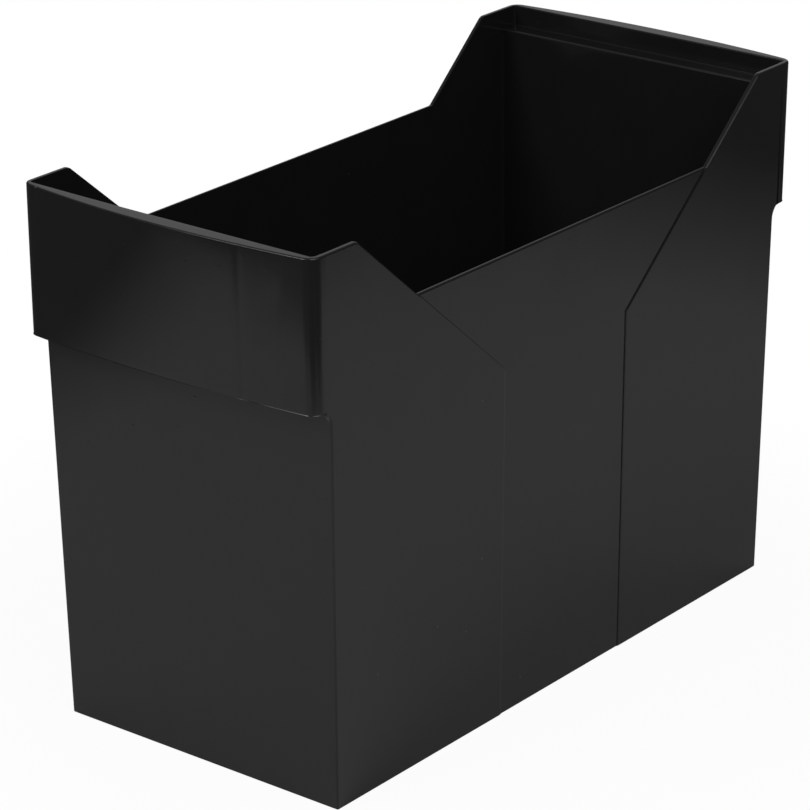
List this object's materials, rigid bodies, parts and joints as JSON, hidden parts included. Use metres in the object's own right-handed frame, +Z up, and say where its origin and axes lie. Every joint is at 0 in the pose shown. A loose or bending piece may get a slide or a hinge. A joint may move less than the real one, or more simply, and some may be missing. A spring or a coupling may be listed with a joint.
{
  "type": "hanging file box",
  "caption": "Open rectangular tub for hanging files, with low-cut long sides, a hook ledge inside each high end and a bowed grip skirt outside it.",
  "frame": {"origin": "centre of the base, on the table", "axes": "+X along the tub, from the front grip to the rear grip; +Y across it; +Z up, out of the open top"},
  "size_m": [0.367, 0.166, 0.26],
  "materials": {
    "tub_plastic": "black moulded plastic, satin, with a very fine grain"
  },
  "bodies": {
    "root": {"floor": "tub_plastic", "front_end_wall": "tub_plastic", "rear_end_wall": "tub_plastic", "right_long_wall": "tub_plastic", "left_long_wall": "tub_plastic", "front_hook_ledge": "tub_plastic", "rear_hook_ledge": "tub_plastic", "front_grip_skirt": "tub_plastic", "rear_grip_skirt": "tub_plastic", "front_grip_ribs": "tub_plastic", "rear_grip_ribs": "tub_plastic"}
  },
  "joints": []
}
